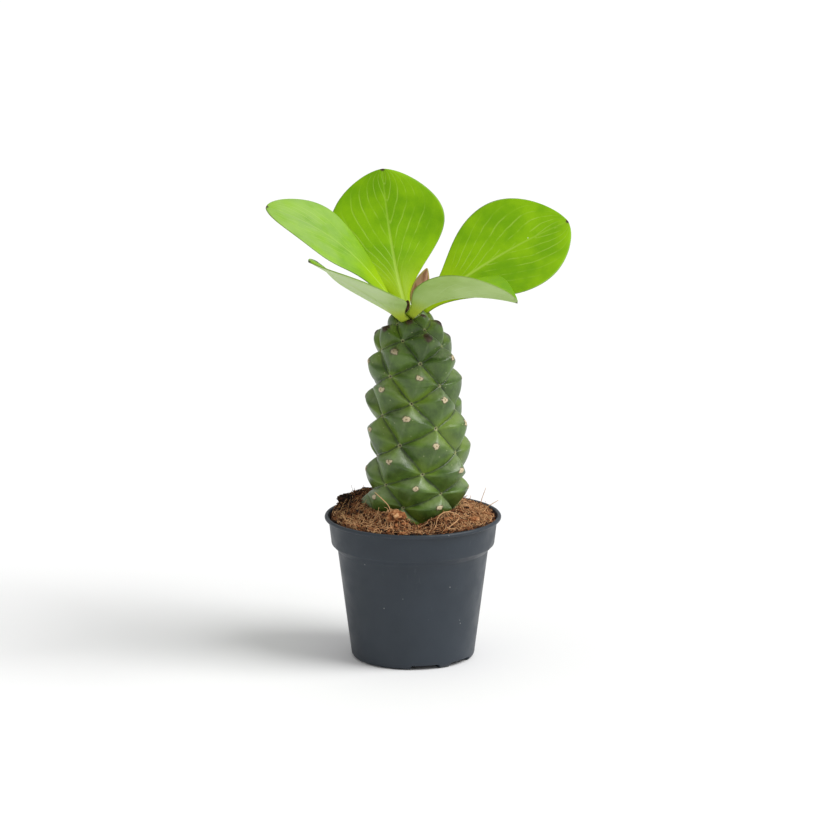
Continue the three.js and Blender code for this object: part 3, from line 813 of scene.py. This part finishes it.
def make_stem(material):
    radius, z = stem_profile()
    slope = np.arctan2(-np.gradient(radius), np.gradient(z))[:, None]
    bearing = np.arange(STEM_AROUND) * 360.0 / STEM_AROUND
    angle = np.radians(bearing)
    index = np.repeat(growth_index(radius, z)[:, None], STEM_AROUND, 1)
    turn = np.repeat(bearing[None, :] - FIRST_BEARING, len(z), 0)
    skin = np.stack(np.broadcast_arrays(
        radius[:, None] * np.sin(angle), -radius[:, None] * np.cos(angle), z[:, None]), -1).reshape(-1, 3)
    index = index + 0.26 * fractal(skin, 9.0, 2, 2.0).reshape(index.shape)
    turn = turn + 3.4 * fractal(skin, 9.0, 2, 7.0).reshape(index.shape)
    cell = tubercles(index, turn, radius[:, None] + 2.5)

    size = 1.0 + 0.12 * np.sin(cell["number"] * 2.7)
    young = np.minimum((radius / 12) ** 0.8, 1.0)[:, None]
    height = TUBERCLE_HEIGHT * smoothstep(z, 46.0, 53.0)[:, None] * young * size
    lift = height * (1 - (1 - cell["inward"]) ** BULGE_POWER)
    lift += 0.16 * (1 - smoothstep(cell["scar"], 0.9, 1.4))
    lift -= 0.30 * (1 - smoothstep(cell["bud"], 0.2, 0.7)) * young
    out = radius[:, None] + lift * np.cos(slope)
    offset = (axis_offset(z) * smoothstep(z, 46.0, 60.0))[:, None]
    rings = np.stack([
        offset + out * np.sin(angle)[None, :],
        -out * np.cos(angle)[None, :],
        z[:, None] + lift * np.sin(slope),
    ], -1)
    points, faces = ring_solid(rings)

    def padded(values):
        """One value a ring point, then one for each end cap's middle."""
        return np.concatenate([np.broadcast_to(values, index.shape).reshape(-1), [9.0, 9.0]])

    attributes = {label: padded(cell[label]) for label in ("edge", "scar", "bud", "painted_sky_light", "ridge")}
    attributes["young"] = padded(smoothstep(index, 4.0, 10.0))
    stem = make_object("tubercled_stem", points, faces, material, attributes)
    return add_piece(stem, "stem_skin", "stem")


# ---------------------------------------------------------------- leaves

def blade_half_width(t, width):
    blade = np.maximum(np.sin(math.pi * t ** 1.5), 0) ** (1.15 - 0.52 * t)
    return PETIOLE_WIDTH * np.sqrt(1 - t) + (width / 2 - 0.6 * PETIOLE_WIDTH) * blade


def blade_thickness(t):
    blade = lerp(BLADE_THICKNESS, TIP_THICKNESS, t)
    return lerp(PETIOLE_THICKNESS, blade, smoothstep(t, 0.0, 0.3))


def scale_half_width(t, width):
    return 0.2 + (width / 2 - 0.2) * np.maximum(np.sin(math.pi * t ** 0.8), 0) ** 0.8


def scale_thickness(t):
    return lerp(0.55, 0.3, t)


def leaf_rows(leaf, rows):
    """Shares along the midrib, its points, and the across and under directions."""
    t = 1 - (1 - np.linspace(0, 1, rows)) ** 1.6
    bearing = np.radians(leaf["az"] + leaf["sweep"] * t)
    slope = np.radians(leaf["lift"] - leaf["droop"] * t)
    along = np.stack([
        np.cos(slope) * np.sin(bearing), -np.cos(slope) * np.cos(bearing), np.sin(slope)], -1)
    steps = (along[1:] + along[:-1]) / 2 * np.diff(t)[:, None] * leaf["length"]
    middle = np.concatenate([[np.zeros(3)], np.cumsum(steps, 0)]) + leaf["base"]
    level = np.stack([np.cos(bearing), np.sin(bearing), np.zeros_like(bearing)], -1)
    down = np.cross(level, along)
    roll = np.radians(leaf["roll"] + leaf["twist"] * t)[:, None]
    across = level * np.cos(roll) + down * np.sin(roll)
    return t, middle, across, np.cross(across, along)


def vein_phase(t, v):
    """Counts up along the blade; a side vein runs along each whole number."""
    stagger = np.where(v > 0, 0.0, 0.4)
    return (t - VEIN_RISE * np.abs(v) ** 0.9) / VEIN_SPACING + stagger


def ring_shares(columns):
    """Offsets -1 to 1 across a leaf, round both faces, and +1 or -1 for the face."""
    turn = np.linspace(0, 2 * math.pi, columns, endpoint=False)
    even = 4 * np.abs(turn / (2 * math.pi) - 0.5) - 1
    return lerp(even, np.cos(turn), 0.35)[None, :], np.sign(np.sin(turn).round(9))[None, :]


def leaf_solid(leaf, rows=LEAF_ROWS, columns=LEAF_COLUMNS, half_of=blade_half_width,
               thick_of=blade_thickness, wave=0.5):
    """Points, faces and attributes of a leaf: a flat ring swept along the midrib.

    The petiole runs ROOT_LENGTH back past the base, towards the crown's skin.
    """
    t, middle, across, under = leaf_rows(leaf, rows)
    half = half_of(t, leaf["width"])[:, None]
    thick = thick_of(t)[:, None]
    t = t[:, None]
    v, side = ring_shares(columns)
    fold = math.radians(leaf["fold"])
    flatness = lerp(0.5, 0.18, smoothstep(t, 0.05, 0.3))
    rim = side * np.maximum(1 - v * v, 0) ** flatness
    ripple = wave * np.sin(11 * t + 2.2 * np.sign(v)) * v ** 4 * smoothstep(t, 0.25, 0.6)
    keel = 0.4 * np.exp(-(v * half / 1.1) ** 2) * (1 - t)
    groove = 0.16 * np.exp(-(v * half / 0.8) ** 2)
    sink = half * (np.abs(v) * math.sin(fold) + leaf["cup"] * v * v) + ripple
    surface = sink - rim * thick / 2 + np.where(side > 0, groove, keel)
    sideways = half * v * math.cos(fold)
    rings = middle[:, None] + across[:, None] * sideways[..., None] + under[:, None] * surface[..., None]
    root = rings[:1] - ROOT_LENGTH * np.cross(under[0], across[0])
    points, faces = ring_solid(np.concatenate([root, rings]))

    def padded(values):
        values = np.broadcast_to(values, rings.shape[:2])
        return np.concatenate([values[0], values.reshape(-1), values[0, :1], values[-1, :1]])

    attributes = {
        "along": padded(t), "across": padded(np.abs(v)), "vein": padded(vein_phase(t, v)),
        "midrib": padded(np.abs(v) * half), "margin": padded((1 - np.abs(v)) * half),
        "upper": padded((side + 1) / 2), "tip": padded(np.linalg.norm(rings - middle[-1], axis=-1)),
        # painted sheen mask, growing over the outer part of the blade
        "painted_sheen": padded(leaf.get("painted_sheen", 0.0) * smoothstep(t, 0.25, 0.6)),
    }
    return points, faces, attributes


def make_leaves(leaf_material, bract_material, scale_material):
    for name, leaf in LEAVES.items():
        points, faces, attributes = leaf_solid(leaf)
        blade = make_object(name + "_blade", points, faces, leaf_material, attributes)
        add_piece(blade, "leaf_skin", name)
    thin = dict(rows=48, columns=32, half_of=scale_half_width, thick_of=scale_thickness, wave=0.12)
    points, faces, attributes = leaf_solid(YOUNG_LEAF, **thin)
    young = make_object("young_leaf_bract", points, faces, bract_material, attributes)
    add_piece(young, "bract_skin", "young_leaf")
    for name, scale in DRIED_SCALES.items():
        points, faces, attributes = leaf_solid(scale, **thin)
        add_piece(make_object(name + "_husk", points, faces, scale_material, attributes), "dried_scale", name)


# ---------------------------------------------------------------- studio

def make_floor(material):
    bpy.ops.mesh.primitive_plane_add(size=8.0, location=(0, 0, -0.0002))
    floor = bpy.context.object
    floor.name = "studio_floor"
    floor.data.materials.append(material)


def add_sun(name, towards, strength, spread):
    """A soft distant lamp; towards points at it, spread is its width in degrees."""
    data = bpy.data.lights.new(name, "SUN")
    data.energy = strength
    data.angle = math.radians(spread)
    light = bpy.data.objects.new(name, data)
    light.rotation_euler = Vector(towards).to_track_quat("Z", "Y").to_euler()
    bpy.context.scene.collection.objects.link(light)


def add_lights():
    world = bpy.data.worlds.new("studio")
    world.use_nodes = True
    background = world.node_tree.nodes["Background"]
    background.inputs["Color"].default_value = (1.0, 1.0, 1.0, 1.0)
    background.inputs["Strength"].default_value = WORLD_STRENGTH
    bpy.context.scene.world = world
    add_sun("key", KEY_TOWARDS, KEY_STRENGTH, KEY_SPREAD)


def add_camera():
    data = bpy.data.cameras.new("camera")
    data.lens = CAMERA_LENS
    data.sensor_width = 36.0
    data.clip_start = 0.01
    camera = bpy.data.objects.new("camera", data)
    elevation = math.radians(CAMERA_ELEVATION)
    back = Vector((0, -math.cos(elevation), math.sin(elevation)))
    camera.location = (Vector(CAMERA_TARGET) + back * CAMERA_DISTANCE) * MM
    camera.rotation_euler = (-back).to_track_quat("-Z", "Y").to_euler()
    bpy.context.scene.collection.objects.link(camera)
    bpy.context.scene.camera = camera


def main():
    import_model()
    bpy.context.scene.view_settings.view_transform = "Standard"
    add_camera()
    add_lights()
    make_floor(floor_paint())
    make_pot(pot_plastic())
    mix_material = coir("coir_mix", damp=0.06)
    fibre_material = coir("coir_fibre")
    make_mix(mix_material)
    make_crumbs(mix_material)
    make_strands(fibre_material)
    make_fibres(fibre_material)
    make_chunks(coir("bark", damp=0.1), coir("coir_lump"))
    make_stem(stem_skin())
    make_leaves(leaf_skin(), bract_skin(), dried_scale())


main()
